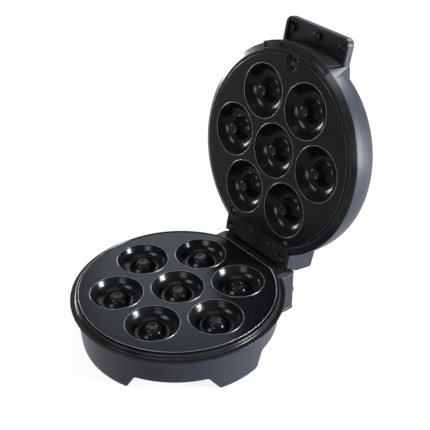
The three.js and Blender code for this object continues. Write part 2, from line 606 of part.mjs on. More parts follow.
for (const [name, degrees] of LEGS) {
  const spot = radial(degrees).multiplyScalar(LEG_PAD_R);
  add(base, `foot_${name}`, rod(FOOT_R, spot.x, spot.y, 0, FOOT_T), RUBBER);
}
for (const [name, side] of [['left', -1], ['right', 1]]) {
  add(base, `foot_rear_${name}`, rod(FOOT_R, side * REAR_FOOT[0], REAR_FOOT[1], 0, FOOT_T), RUBBER);
  const bumper = new THREE.CylinderGeometry(2.4, 3, 3.4, SMALL);
  bumper.translate(side * 41.5, HINGE_BACK + 2, PLATE_Z - 29);
  add(base, `rear_bumper_${name}`, closed(bumper), RUBBER);
  const pin = rodAlongX(PIN_R, ...mirrored(side, EAR_IN - 3.4, EAR_OUT + 3.2), HINGE_Y, HINGE_Z);
  add(base, `hinge_pin_${name}`, pin, STEEL);
}
BOSS_ANGLES.forEach((degrees, k) => {
  const spot = radial(degrees).multiplyScalar(BOSS_R);
  add(base, `bottom_cover_screw_${k + 1}`, screw(spot.x, spot.y, COVER_Z[0] - 2.1, 28), STEEL);
});
LOWER_SCREWS.forEach(([x, y], k) => {
  add(base, `lower_plate_screw_${k + 1}`, screw(x, y, PLATE_Z - 7.3, PLATE_Z - PLATE_T - 0.3), STEEL);
});

add(closedLid, 'lid_shell', lidShell(), GREY_SHELL);
add(closedLid, 'lid_trim', lidTrim(), BLACK_PLASTIC);
add(closedLid, 'upper_mould_plate', upperPlate(), NON_STICK);
add(closedLid, 'upper_heating_element', heatingElement(UPPER_ELEMENT_Z, 82), HEATER);
add(closedLid, 'upper_heat_shield', heatShield(LID_Z + 22.4, 1), GALVANISED);
add(closedLid, 'upper_terminal_block', terminalBlock([-14, 14], [82, 92], [LID_Z + 24, LID_Z + 32]), CERAMIC);
add(closedLid, 'handle_cover', handleCover(), BLACK_PLASTIC);
add(closedLid, 'lamp_holder', box([-16, 16], [-68, -56], [LID_Z + 26.5, PLATE_Z + 34.6]), BLACK_PLASTIC);
add(closedLid, 'power_lamp_lens', lens(LENS_SPOTS.power), RED_LENS);
add(closedLid, 'ready_lamp_lens', lens(LENS_SPOTS.ready), GREEN_LENS);
for (const [name, [x, y]] of Object.entries(HANDLE_SCREWS)) {
  add(closedLid, `handle_screw_${name}`, screw(x, y, TRAY_Z - 5.1, TRAY_Z + 1.8, 2.6, 1.15), STEEL);
}
for (const [name, [x, y]] of Object.entries(UPPER_SCREWS)) {
  add(closedLid, `upper_plate_screw_${name}`, screw(x, y, LID_Z + 0.8, PLATE_Z + 11, 3.4), STEEL);
}

export default model;
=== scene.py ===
import json
import math

import bmesh
import bpy
import numpy as np
from mathutils import Matrix, Vector
from mathutils.geometry import delaunay_2d_cdt


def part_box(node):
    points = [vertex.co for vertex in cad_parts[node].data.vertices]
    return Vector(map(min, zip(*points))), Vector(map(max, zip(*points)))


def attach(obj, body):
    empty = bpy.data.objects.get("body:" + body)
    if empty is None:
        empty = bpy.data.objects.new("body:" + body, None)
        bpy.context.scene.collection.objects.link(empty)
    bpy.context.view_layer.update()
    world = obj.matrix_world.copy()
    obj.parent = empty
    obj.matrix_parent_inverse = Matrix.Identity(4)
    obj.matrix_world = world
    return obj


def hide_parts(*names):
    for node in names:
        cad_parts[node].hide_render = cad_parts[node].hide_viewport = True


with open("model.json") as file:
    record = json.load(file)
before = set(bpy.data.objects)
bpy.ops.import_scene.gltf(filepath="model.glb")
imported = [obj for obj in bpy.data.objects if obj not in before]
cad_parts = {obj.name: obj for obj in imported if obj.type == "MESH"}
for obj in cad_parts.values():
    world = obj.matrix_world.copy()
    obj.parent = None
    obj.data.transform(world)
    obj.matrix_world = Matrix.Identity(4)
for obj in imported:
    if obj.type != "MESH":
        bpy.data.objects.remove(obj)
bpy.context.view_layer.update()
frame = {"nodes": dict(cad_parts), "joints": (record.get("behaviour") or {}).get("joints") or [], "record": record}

# ------------------------------------------------------------------ where things are
#
# Pieces are drawn in millimetres about the axis of the round body, +Z up from the floor,
# with the lid closed. BASE and LID place such a drawing in the row frame.

MM = 0.001
plate_low, plate_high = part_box("lower_mould_plate")
PLATE_R = (plate_high.x - plate_low.x) / 2 / MM
RIM_H = 0.9  # the plate's rim stands this much above its face
P = plate_high.z / MM - RIM_H  # height of the lower plate's face
AXIS_Y = plate_low.y / MM + PLATE_R

hinge = frame["joints"][0]
hinge_at = Vector(hinge["pos_m"])
lid_open = math.radians(hinge["range_deg"][1])

BASE = Matrix.Scale(MM, 4) @ Matrix.Translation((0, AXIS_Y, 0))
LID = (
    Matrix.Translation(hinge_at)
    @ Matrix.Rotation(-lid_open, 4, "X")
    @ Matrix.Translation(-hinge_at)
    @ BASE
)

HINGE_Y = hinge_at.y / MM - AXIS_Y
HINGE_Z = hinge_at.z / MM
LID_Z = P + 0.6  # face of the upper plate

TURN_STEPS = 192  # sides of the large round shapes
SMALL_STEPS = 40  # sides of screws, feet and lenses
MOULD_STEPS = 72  # sides of a mould

PITCH = 57.0  # from the middle mould to the six around it
MOULD_CENTRES = [(0.0, 0.0)] + [
    (PITCH * math.cos(math.radians(60 * k)), PITCH * math.sin(math.radians(60 * k))) for k in range(6)
]


# ------------------------------------------------------------------ curves


def rounded(points, closed=False, step=0.28):
    """Polyline through (u, v) or (u, v, radius) points, each radius turned into an arc.

    step is the longest turn of one piece of an arc, in radians.
    """
    count = len(points)
    result = []
    for i, point in enumerate(points):
        here = Vector(point[:2])
        radius = point[2] if len(point) > 2 else 0
        if radius == 0 or (not closed and i in (0, count - 1)):
            result.append(tuple(here))
            continue
        back = (Vector(points[i - 1][:2]) - here).normalized()
        ahead = (Vector(points[(i + 1) % count][:2]) - here).normalized()
        half = back.angle(ahead) / 2
        reach = radius / math.tan(half)
        centre = here + (back + ahead).normalized() * (radius / math.sin(half))
        start = here + back * reach - centre
        sweep = math.pi - 2 * half
        if back.x * ahead.y - back.y * ahead.x > 0:
            sweep = -sweep
        pieces = max(2, math.ceil(abs(sweep) / step))
        for k in range(pieces + 1):
            turn = sweep * k / pieces
            cos, sin = math.cos(turn), math.sin(turn)
            u = centre.x + start.x * cos - start.y * sin
            v = centre.y + start.x * sin + start.y * cos
            result.append((u, v))
    return result


def spline(points, per_span=6):
    """Smooth curve through points (Catmull-Rom)."""
    given = [np.array(point) for point in points]
    before = 2 * given[0] - given[1]
    after = 2 * given[-1] - given[-2]
    knots = [before, *given, after]
    result = []
    for a, b, c, d in zip(knots, knots[1:], knots[2:], knots[3:]):
        square = 2 * a - 5 * b + 4 * c - d
        cube = 3 * b - a - 3 * c + d
        for k in range(per_span):
            t = k / per_span
            result.append(tuple((2 * b + (c - a) * t + square * t**2 + cube * t**3) / 2))
    result.append(tuple(points[-1]))
    return result


def rounded_rectangle(x, y, radius):
    """Rectangle between a (low, high) pair on each axis."""
    return rounded([
        (x[0], y[0], radius), (x[1], y[0], radius), (x[1], y[1], radius), (x[0], y[1], radius),
    ], closed=True)


def arc(radius, start, end, steps, centre=(0, 0)):
    """Points along an arc, angles in degrees from +X."""
    angles = np.radians(np.linspace(start, end, steps + 1))
    return [(centre[0] + radius * math.cos(a), centre[1] + radius * math.sin(a)) for a in angles]


def radial(degrees, radius):
    """Point at an angle measured from the front (-Y) towards +X."""
    angle = math.radians(degrees)
    return radius * math.sin(angle), -radius * math.cos(angle)


# ------------------------------------------------------------------ mesh parts
#
# A part is (vertices, faces), in drawing millimetres.


def merged(*parts):
    """Several parts as one."""
    vertices, faces = [], []
    for part_vertices, part_faces in parts:
        first = len(vertices)
        vertices += list(part_vertices)
        faces += [tuple(first + i for i in face) for face in part_faces]
    return vertices, faces


def turned(profile, steps=TURN_STEPS, at=(0, 0), loop=False):
    """Solid of revolution about Z. profile is (radius, height) points; loop closes it on itself."""
    vertices, rows = [], []
    for radius, height in profile:
        if radius < 1e-6:
            rows.append([len(vertices)])
            vertices.append((at[0], at[1], height))
            continue
        rows.append(list(range(len(vertices), len(vertices) + steps)))
        for k in range(steps):
            angle = 2 * math.pi * k / steps
            vertices.append((at[0] + radius * math.cos(angle), at[1] + radius * math.sin(angle), height))
    faces = []
    pairs = list(zip(rows, rows[1:]))
    if loop:
        pairs.append((rows[-1], rows[0]))
    for low, high in pairs:
        for k in range(steps):
            n = k + 1
            ring = [low[k % len(low)], low[n % len(low)], high[n % len(high)], high[k % len(high)]]
            face = tuple(dict.fromkeys(ring))
            if len(face) > 2:
                faces.append(face)
    return vertices, faces


def prism(outline, low, high, axis="Z"):
    """Outline extruded along an axis: (x, y) along Z, (y, z) along X, (x, z) along Y."""
    place = {
        "Z": lambda u, v, w: (u, v, w),
        "X": lambda u, v, w: (w, u, v),
        "Y": lambda u, v, w: (u, w, v),
    }[axis]
    count = len(outline)
    vertices = [place(u, v, low) for u, v in outline] + [place(u, v, high) for u, v in outline]
    faces = [tuple(range(count)), tuple(range(count, 2 * count))]
    for i in range(count):
        j = (i + 1) % count
        faces.append((i, j, count + j, count + i))
    return vertices, faces


def block(x, y, z):
    """Box between a (low, high) pair on each axis."""
    return prism([(x[0], y[0]), (x[1], y[0]), (x[1], y[1]), (x[0], y[1])], *z)


def rod(radius, at, low, high, axis="Z", steps=SMALL_STEPS):
    """Round bar along an axis, between two heights on it."""
    return prism(arc(radius, 0, 360, steps, at)[:-1], low, high, axis)


def swept(outline, section):
    """Section (inset, height) carried round a closed plan outline."""
    points = np.array(outline)
    ahead = np.roll(points, -1, 0) - np.roll(points, 1, 0)
    ahead /= np.linalg.norm(ahead, axis=1)[:, None]
    outward = np.stack([ahead[:, 1], -ahead[:, 0]], 1)
    count = len(points)
    vertices, faces = [], []
    for inset, height in section:
        vertices += [(x, y, height) for x, y in points - outward * inset]
    for row in range(len(section) - 1):
        low, high = row * count, (row + 1) * count
        for i in range(count):
            j = (i + 1) % count
            faces.append((low + i, low + j, high + j, high + i))
    return vertices, faces


def sheet_with_holes(outline, holes, height):
    """Flat face between a plan outline and the holes in it."""
    loops = [list(outline), *[list(hole) for hole in holes]]
    points, edges = [], []
    for loop in loops:
        first = len(points)
        points += [Vector(point) for point in loop]
        edges += [(first + i, first + (i + 1) % len(loop)) for i in range(len(loop))]
    flat, _, triangles, *_ = delaunay_2d_cdt(points, edges, [list(range(len(outline)))], 1, 1e-6)
    kept = []
    for triangle in triangles:
        middle = sum((flat[i] for i in triangle), Vector((0, 0))) / len(triangle)
        if not any(inside(middle, hole) for hole in holes):
            kept.append(tuple(triangle))
    return [(point.x, point.y, height) for point in flat], kept


def inside(point, loop):
    """Whether a point lies within a closed loop, by counting crossings."""
    odd = False
    for (x0, y0), (x1, y1) in zip(loop, [*loop[1:], loop[0]]):
        crosses = (y0 > point.y) != (y1 > point.y)
        if crosses and point.x < (x1 - x0) * (point.y - y0) / (y1 - y0) + x0:
            odd = not odd
    return odd


# ------------------------------------------------------------------ Blender objects

BEVEL_ANGLE = math.radians(30)
SMOOTH_ANGLE = math.radians(32)  # edges up to this are shaded smooth
WELD = 1e-4  # millimetres


def solid(part, bevel=0, segments=3, name="work"):
    """Part as a closed Blender mesh object, its edges sharper than BEVEL_ANGLE rounded by bevel."""
    mesh = bpy.data.meshes.new(name)
    mesh.from_pydata(part[0], [], part[1])
    body = bmesh.new()
    body.from_mesh(mesh)
    bmesh.ops.remove_doubles(body, verts=body.verts, dist=WELD)
    bmesh.ops.recalc_face_normals(body, faces=body.faces)
    if body.calc_volume(signed=True) < 0:
        bmesh.ops.reverse_faces(body, faces=body.faces)
    body.to_mesh(mesh)
    body.free()
    made = bpy.data.objects.new(name, mesh)
    bpy.context.scene.collection.objects.link(made)
    if bevel:
        modifier = made.modifiers.new("Bevel", "BEVEL")
        modifier.width = bevel
        modifier.segments = segments
        modifier.limit_method = "ANGLE"
        modifier.angle_limit = BEVEL_ANGLE
        modifier.use_clamp_overlap = True
        applied(made)
    return made


def applied(made):
    """Turns an object's modifiers into mesh."""
    bpy.context.view_layer.update()
    graph = bpy.context.evaluated_depsgraph_get()
    mesh = bpy.data.meshes.new_from_object(made.evaluated_get(graph))
    made.modifiers.clear()
    old = made.data
    made.data = mesh
    bpy.data.meshes.remove(old)


def combined(operation, first, others):
    """Boolean of the first object with each of the others, which it uses up."""
    for other in others:
        modifier = first.modifiers.new("Boolean", "BOOLEAN")
        modifier.operation = operation
        modifier.solver = "EXACT"
        modifier.object = other
        applied(first)
        bpy.data.objects.remove(other)


def joined(first, *others):
    combined("UNION", first, others)


def cut(first, *others):
    combined("DIFFERENCE", first, others)


def common(first, *others):
    combined("INTERSECT", first, others)


def finished(made, name, place, finish, body, nodes):
    """Names, places, smooths and paints a piece, ties it to its body and hides the CAD nodes it stands in for."""
    made.name = name
    made.data.transform(place)
    for polygon in made.data.polygons:
        polygon.use_smooth = True
    made.data.set_sharp_from_angle(angle=SMOOTH_ANGLE)
    weighted = made.modifiers.new("Weighted", "WEIGHTED_NORMAL")
    weighted.keep_sharp = True
    weighted.weight = 100
    applied(made)
    made.data.name = name
    if not made.data.materials:
        made.data.materials.append(finish)
    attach(made, body)
    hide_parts(*nodes)


def base_piece(made, name, finish, slot, *nodes):
    finished(made, name, BASE, finish, "base", nodes)


def lid_piece(made, name, finish, slot, *nodes):
    finished(made, name, LID, finish, "lid", nodes)


# ------------------------------------------------------------------ materials

GRAIN_DEPTH = 0.0001  # of the bumps, in metres
COARSE_DEPTH = 0.0002


class Nodes:
    """Adds shader nodes to one material."""

    def __init__(self, name):
        self.material = bpy.data.materials.new(name)
        self.material.use_nodes = True
        self.tree = self.material.node_tree
        self.shader = self.tree.nodes["Principled BSDF"]
        self.space = self.tree.nodes.new("ShaderNodeTexCoord").outputs["Object"]

    def add(self, kind, **inputs):
        node = self.tree.nodes.new(kind)
        for name, value in inputs.items():
            self.set(node.inputs[name.replace("_", " ")], value)
        return node

    def set(self, socket, value):
        if isinstance(value, bpy.types.NodeSocket):
            self.tree.links.new(value, socket)
        else:
            socket.default_value = value

    def stretched(self, scale):
        """Object coordinates scaled by axis."""
        node = self.tree.nodes.new("ShaderNodeMapping")
        self.tree.links.new(self.space, node.inputs["Vector"])
        node.inputs["Scale"].default_value = scale
        return node.outputs["Vector"]

    def noise(self, scale, detail, vector=None):
        node = self.add("ShaderNodeTexNoise", Scale=scale, Detail=detail, Roughness=0.55)
        self.tree.links.new(vector or self.space, node.inputs["Vector"])
        return node.outputs["Fac"]

    def ranged(self, value, low, high, start=0.3, end=0.7):
        """Stretch of a noise value, start to end, mapped to low to high."""
        node = self.add("ShaderNodeMapRange", Value=value)
        ranges = {"From Min": start, "From Max": end, "To Min": low, "To Max": high}
        for name, number in ranges.items():
            node.inputs[name].default_value = number
        return node.outputs["Result"]

    def mixed(self, value, first, second, start=0.3, end=0.7):
        """Two colours mixed by a noise value."""
        factor = self.ranged(value, 0, 1, start, end)
        node = self.tree.nodes.new("ShaderNodeMix")
        node.data_type = "RGBA"
        self.set(node.inputs["Factor"], factor)
        self.set(node.inputs["A"], shade(*first))
        self.set(node.inputs["B"], shade(*second))
        return node.outputs["Result"]

    def bumped(self, height, strength, distance=GRAIN_DEPTH):
        node = self.add("ShaderNodeBump", Height=height, Strength=strength, Distance=distance)
        return node.outputs["Normal"]

    def surface(self, **inputs):
        for name, value in inputs.items():
            self.set(self.shader.inputs[name.replace("_", " ")], value)
        return self.material


def shade(red, green, blue):
    return (red, green, blue, 1.0)


def housing_grey():
    nodes = Nodes("housing_grey")
    grain = nodes.noise(2600, 2.0)
    smudge = nodes.noise(28, 4.0)
    return nodes.surface(
        Base_Color=nodes.mixed(smudge, (0.005, 0.0062, 0.0092), (0.0064, 0.0078, 0.0114)),
        Roughness=nodes.ranged(smudge, 0.35, 0.42),
        Specular_IOR_Level=0.15,
        Normal=nodes.bumped(grain, 0.12),
    )


def trim_black():
    nodes = Nodes("trim_black")
    smudge = nodes.noise(45, 5.0)
    dust = nodes.noise(1500, 1.0)
    return nodes.surface(
        Base_Color=nodes.mixed(smudge, (0.003, 0.003, 0.0035), (0.006, 0.006, 0.007)),
        Roughness=nodes.ranged(smudge, 0.18, 0.25),
        Specular_IOR_Level=0.1,
        Normal=nodes.bumped(dust, 0.05),
    )


def non_stick():
    nodes = Nodes("non_stick")
    fleck = nodes.noise(3800, 1.0)
    cloud = nodes.noise(35, 4.0)
    return nodes.surface(
        Base_Color=nodes.mixed(fleck, (0.0015, 0.0016, 0.002), (0.006, 0.0062, 0.0072), 0.55, 0.75),
        Roughness=nodes.ranged(cloud, 0.17, 0.22),
        Specular_IOR_Level=0.08,
        Normal=nodes.bumped(fleck, 0.08),
    )


def bare_rim():
    """Machined metal where the coating stops at a plate's rim."""
    nodes = Nodes("bare_rim")
    lathe_marks = nodes.noise(900, 2.0)
    return nodes.surface(
        Base_Color=shade(0.1, 0.104, 0.115),
        Roughness=nodes.ranged(lathe_marks, 0.38, 0.48),
        Metallic=1.0,
        Normal=nodes.bumped(lathe_marks, 0.1),
    )


def painted_bead_highlight():
    """Painted highlight on the crests of the beads: lighter and more metallic than the coating, standing in for
    the light the rounded crests catch.
    """
    nodes = Nodes("painted_bead_highlight")
    fleck = nodes.noise(2600, 2.0)
    return nodes.surface(
        Base_Color=nodes.mixed(fleck, (0.024, 0.025, 0.027), (0.05, 0.052, 0.056)),
        Roughness=nodes.ranged(fleck, 0.28, 0.4),
        Metallic=0.7,
    )


def metal(name, colour, dark, rough):
    nodes = Nodes(name)
    scratch = nodes.noise(700, 4.0, nodes.stretched((1, 12, 1)))
    stain = nodes.noise(60, 4.0)
    return nodes.surface(
        Base_Color=nodes.mixed(stain, colour, dark),
        Roughness=nodes.ranged(scratch, rough - 0.08, rough + 0.08),
        Metallic=1.0,
        Normal=nodes.bumped(scratch, 0.15),
    )


def dull(name, colour, dark, rough, grain_scale, grain_strength):
    nodes = Nodes(name)
    grain = nodes.noise(grain_scale, 3.0)
    cloud = nodes.noise(40, 3.0)
    return nodes.surface(
        Base_Color=nodes.mixed(cloud, colour, dark),
        Roughness=nodes.ranged(grain, rough - 0.06, rough + 0.06),
        Normal=nodes.bumped(grain, grain_strength, COARSE_DEPTH),
    )


GREY = housing_grey()
BLACK = trim_black()
COATING = non_stick()
RIM = bare_rim()
# Painted highlight for the bead crests; the coating there is the same as elsewhere.
BEAD_HIGHLIGHT = painted_bead_highlight()
DARK_STEEL = metal("dark_steel", (0.03, 0.03, 0.033), (0.02, 0.02, 0.022), 0.55)
STEEL = metal("steel", (0.5, 0.51, 0.53), (0.36, 0.36, 0.37), 0.3)
GALVANISED = metal("galvanised", (0.42, 0.43, 0.44), (0.3, 0.3, 0.31), 0.45)
HEATER = metal("heater", (0.13, 0.12, 0.11), (0.07, 0.06, 0.055), 0.5)
RUBBER = dull("rubber", (0.006, 0.006, 0.006), (0.01, 0.01, 0.01), 0.8, 1800, 0.4)
CERAMIC = dull("ceramic", (0.76, 0.74, 0.67), (0.66, 0.64, 0.57), 0.6, 900, 0.25)
BAKELITE = dull("bakelite", (0.05, 0.03, 0.02), (0.035, 0.02, 0.014), 0.5, 900, 0.2)
RED = dull("red_lens", (0.5, 0.01, 0.01), (0.4, 0.008, 0.008), 0.16, 500, 0.05)
GREEN = dull("green_lens", (0.01, 0.32, 0.05), (0.008, 0.25, 0.04), 0.16, 500, 0.05)


# ------------------------------------------------------------------ camera, light, floor

LENS, SENSOR = 78.15, 36.0  # mm
AZIMUTH, ELEVATION, ROLL = (math.radians(angle) for angle in (51.51, 33.0, -0.37))
DISTANCE = 0.9763  # metres from the point looked at
AIM = BASE @ Vector((-74.3, 104.0, P))

FLOOR_HALF = 6000.0
FLOOR_GLOW = 0.85  # keeps the floor white while it throws little light on the black parts
SKY_STRENGTH = 0.4
SOFTBOXES = {  # place and aim in metres, size in metres, power in watts, colour
    "left": ((-1.3, -0.25, 0.2), (0, 0, 0.03), (0.8, 0.3), 36, (1, 1, 1)),
    "back": ((-0.85, 0.95, 0.95), (0, 0, 0.1), (1.1, 0.5), 8, (0.8, 0.9, 1.0)),
    "back_small": ((-0.05, 1.05, 0.9), (0.04, 0.12, 0.24), (0.3, 0.3), 14, (1, 1, 1)),
    "right": ((0.95, 0.6, 0.32), (0, 0.08, 0.16), (0.4, 0.45), 110, (1, 1, 1)),
    "front": ((0.5, -1.0, 0.55), (0, 0, 0.15), (0.5, 0.4), 12, (1, 1, 1)),
    "front_left": ((-0.3, -0.9, 1.1), (0, 0, 0.15), (0.5, 0.4), 14, (1, 1, 1)),
    "top": ((0.1, 0.2, 2.2), (0, 0, 0), (1.0, 1.0), 10, (1, 1, 1)),
}


def camera():
    data = bpy.data.cameras.new("camera")
    data.lens = LENS
    data.sensor_width = SENSOR
    data.clip_start = 0.01
    made = bpy.data.objects.new("camera", data)
    back = Vector((
        math.sin(AZIMUTH) * math.cos(ELEVATION),
        -math.cos(AZIMUTH) * math.cos(ELEVATION),
        math.sin(ELEVATION),
    ))
    right = Vector((math.cos(AZIMUTH), math.sin(AZIMUTH), 0))
    above = back.cross(right)
    turn = Matrix((right, above, back)).transposed().to_4x4() @ Matrix.Rotation(ROLL, 4, "Z")
    made.matrix_world = Matrix.Translation(AIM + back * DISTANCE) @ turn
    bpy.context.scene.collection.objects.link(made)
    bpy.context.scene.camera = made


def softbox(name, where, towards, size, power, colour):
    data = bpy.data.lights.new(name, "AREA")
    data.color = colour
    data.shape = "RECTANGLE"
    data.size, data.size_y = size
    data.energy = power
    made = bpy.data.objects.new(name, data)
    made.location = where
    made.rotation_euler = (Vector(towards) - Vector(where)).to_track_quat("-Z", "Y").to_euler()
    bpy.context.scene.collection.objects.link(made)


def studio():
    across = (-FLOOR_HALF, FLOOR_HALF)
    floor = solid(block(across, across, (-20, -0.01)), name="floor")
    floor.data.transform(Matrix.Scale(MM, 4))
    nodes = Nodes("floor")
    floor.data.materials.append(nodes.surface(
        Base_Color=shade(0.06, 0.06, 0.06),
        Roughness=0.9,
        Specular_IOR_Level=0.2,
        Emission_Color=shade(1, 1, 1),
        Emission_Strength=FLOOR_GLOW,
    ))

    world = bpy.data.worlds.new("world")
    world.use_nodes = True
    sky = world.node_tree.nodes["Background"]
    sky.inputs["Color"].default_value = shade(0.95, 0.97, 1.0)
    sky.inputs["Strength"].default_value = SKY_STRENGTH
    bpy.context.scene.world = world

    for name, values in SOFTBOXES.items():
        softbox(name, *values)
    bpy.context.scene.view_settings.view_transform = "Standard"


camera()
studio()

# ------------------------------------------------------------------ shared sizes and outlines

LOWER_CHORD = 86.6  # y of the straight rear edge of each plate
UPPER_CHORD = 83.4
CORNER = 8.0  # rounding where a plate's straight edge meets its round one
UPPER_R = PLATE_R - 0.4
PLATE_T = 2.6  # thickness of the plates' flanges
GAP = 0.35  # between neighbouring pieces
WALL = 2.4  # thickness of the moulded shells
TRIM_IN_R = 89.5  # inner radius of both trims, under the plates' flanges
HINGE_HALF = 46.0  # half the width of the hinge housing
HINGE_BACK = 105.5  # y of its back wall
SLOT = (32.3, 40.7)  # the lid's slots around the hinge ears, from the middle plane
EAR = (33.0, 40.0)
LEDGE_Z = P - 5  # flat ledge around the base
LID_EDGE_Z = P + 4.4  # lower edge of the lid's round side
LID_EDGE_R = 100.9
HANDLE_HALF = 40.5
HANDLE_TIP = 118.5  # the handle's front edge, from the axis
HANDLE_RIM = P + 24.6  # lower edge of the handle's side walls
HANDLE_TOP = P + 32.5
TRAY_Z = P + 29.6  # upper side of the handle's tray
LATCH_HALF = 25  # degrees of the trim's raised front part, each way
LEG_PAD_R = 86.6
BOSS_R = 88.0
BOSS_ANGLES = (45, 135, 225, 315)
INLET_Z = 31.0

UPPER_SCREWS = {"front": (0, -84.5), "left": (-37.5, 81), "right": (37.5, 81)}
HANDLE_SCREWS = {"left": (-33, -108), "middle": (0, -109.5), "right": (33, -108)}
LENS_SPOTS = {"power": (-9, -62), "ready": (9, -62)}
REAR_FEET = {"left": (-36, 97), "right": (36, 97)}


def chord_outline(radius, chord, front=()):
    """Round outline with a straight edge at y = chord; front replaces its foremost stretch."""
    side = math.sqrt((radius - CORNER) ** 2 - (chord - CORNER) ** 2)
    tilt = math.degrees(math.atan2(chord - CORNER, side))
    around = []
    if front:
        half = math.degrees(math.asin(front[-1][0] / radius)) + 1.5
        around += arc(radius, 180 - tilt, 270 - half, TURN_STEPS // 2)
        around += rounded([around[-1], *front, radial(half, radius)])[1:-1]
        around += arc(radius, 270 + half, 360 + tilt, TURN_STEPS // 2)
    else:
        around += arc(radius, 180 - tilt, 360 + tilt, TURN_STEPS)
    around += arc(CORNER, tilt, 90, 10, (side, chord - CORNER))[1:]
    around += arc(CORNER, 90, 180 - tilt, 10, (-side, chord - CORNER))[:-1]
    return around


# ------------------------------------------------------------------ mould plates


def mould_profile(mouth, tip):
    """From the outside of the bead around a mould down the trough and up to the post's tip."""
    flare = rounded([
        (mouth + 1.7, 0), (mouth + 1.3, 0, 0.2), (mouth + 1.1, 0.5, 0.22), (mouth + 0.35, 0.5, 0.22),
        (mouth, -0.6, 0.4), (22.4, -4.4),
    ])
    trough = spline([(22.2, -4.7), (20.6, -6.6), (18.2, -8.4), (15.0, -9.6), (11.9, -9.2), (9.2, -7.0)], 8)
    post = spline([(9.2, -7.0), (7.2, -4.6), (5.6, min(tip - 0.9, -1.4))], 5)
    top = rounded([post[-1], (5.0, tip, 0.6), (3.2, tip, 0.3), (2.6, tip - 0.7, 0.3), (0, tip - 0.7)])
    return flare[:-1] + trough[:-1] + post[:-1] + top


LOWER_MOUTH, UPPER_MOUTH = 24.2, 25.4  # radii that let the beads of the two plates pass
BEAD_REACH = 1.4  # from the mouth to the outer slope of the bead
LOWER_TIP, UPPER_TIP = -2.8, 2.0  # tips of the posts, from the plate's face

# Underside of a mould, from the flange to the middle.
CUP = [(27.4, -PLATE_T), (25.2, -8.6), (20.6, -13.2), (14.6, -14.5), (9.0, -13.0), (6.0, -11.0)]


def mould_plate(outline, section, side, face, mouth, tip):
    """One cast plate. Heights are above the face on its cooking side; side is -1 if that looks up."""

    def level(profile):
        return [(r, face - side * z) for r, z in profile]

    profile = mould_profile(mouth, tip)
    underside = [*spline(CUP), (0, CUP[-1][1])]
    top_edge, under_edge = section[0], section[-1]
    bead_r, cup_r = profile[0][0], CUP[0][0]
    holes = [arc(bead_r, 0, 360, MOULD_STEPS, centre)[:-1] for centre in MOULD_CENTRES]
    cup_holes = [arc(cup_r, 0, 360, MOULD_STEPS, centre)[:-1] for centre in MOULD_CENTRES]
    rim = swept(outline, level(section))
    count = len(outline)
    inner_loop = [(x, y) for x, y, _ in rim[0][:count]]
    under_loop = [(x, y) for x, y, _ in rim[0][-count:]]
    parts = [
        rim,
        sheet_with_holes(inner_loop, holes, face - side * top_edge[1]),
        sheet_with_holes(under_loop, cup_holes, face - side * under_edge[1]),
    ]
    for centre in MOULD_CENTRES:
        parts.append(turned(level(profile), MOULD_STEPS, centre))
        parts.append(turned(level(underside), MOULD_STEPS, centre))
    return merged(*parts)


def silvered(made, face, side, mouth, low, high):
    """Paints a plate: bare metal on the rim, low to high above the face, and a painted highlight on the bead
    crests.
    """
    for finish in (COATING, RIM, BEAD_HIGHLIGHT):
        made.data.materials.append(finish)
    for polygon in made.data.polygons:
        x, y, z = polygon.center
        above = side * (face - z)
        near_edge = math.hypot(x, y) > TRIM_IN_R + 0.5 or y > UPPER_CHORD - 3
        from_mould = min(math.hypot(x - a, y - b) for a, b in MOULD_CENTRES)
        if near_edge and low < above < high:
            polygon.material_index = 1
        # Crests of the beads around each mould get the painted highlight material.
        elif mouth < from_mould < mouth + BEAD_REACH and above > 0.2:
            polygon.material_index = 2


def lower_plate():
    section = rounded([
        (2.9, 0), (1.15, 0, 0.35), (0.8, RIM_H, 0.25), (0.25, RIM_H, 0.25),
        (0, -PLATE_T, 0.4), (4, -PLATE_T),
    ])
    outline = chord_outline(PLATE_R, LOWER_CHORD)
    made = solid(mould_plate(outline, section, -1, P, LOWER_MOUTH, LOWER_TIP))
    silvered(made, P, -1, LOWER_MOUTH, 0.55, 2)
    base_piece(made, "lower_plate", COATING, "non_stick", "lower_mould_plate")


def upper_plate():
    section = rounded([
        (1.9, 0), (1.45, 0, 0.3), (1.25, -0.9, 0.2), (0, -0.9, 0.3), (0, -PLATE_T, 0.4), (1.9, -PLATE_T),
    ])
    notch_x, notch_y = 5.0, UPPER_SCREWS["front"][1]
    mouth_y = -math.sqrt(UPPER_R**2 - notch_x**2)
    end = arc(notch_x, 180, 0, 16, (0, notch_y))
    front = [(-notch_x, mouth_y, 2.0), *end, (notch_x, mouth_y, 2.0)]
    outline = chord_outline(UPPER_R, UPPER_CHORD, front)
    made = solid(mould_plate(outline, section, 1, LID_Z, UPPER_MOUTH, UPPER_TIP))
    for name in ("left", "right"):
        cut(made, solid(rod(5.6, UPPER_SCREWS[name], LID_Z - 4, LID_Z + 6)))
    silvered(made, LID_Z, 1, UPPER_MOUTH, -0.85, -0.1)
    lid_piece(made, "upper_plate", COATING, "non_stick", "upper_mould_plate")


# ------------------------------------------------------------------ base housing

# Round wall as (radius, height) points, with its lower edge cut into legs and arches.
WALL_CURVE = [(92.6, 1.0), (93.3, 7.0), (94.0, 17.0), (95.4, 32.0), (96.8, LEDGE_Z - 2.3)]
ARCH_FRONT, ARCH_REAR, LEG_Z = 17.0, 19.0, 1.0
FRONT_LEG = (22.6, 28.6)  # angles from the front where the leg ends and where the arch begins
SIDE_LEG = ((69.5, 76.7), (103.0, 106.5))  # front slope and rear slope of a side leg, as angles
LEG_FLOORS = {0: 21.5, 90: 12.4, -90: 12.4}  # angle of each leg: degrees to either side
EDGE_LIP = 0.9  # rounding of the lower edge


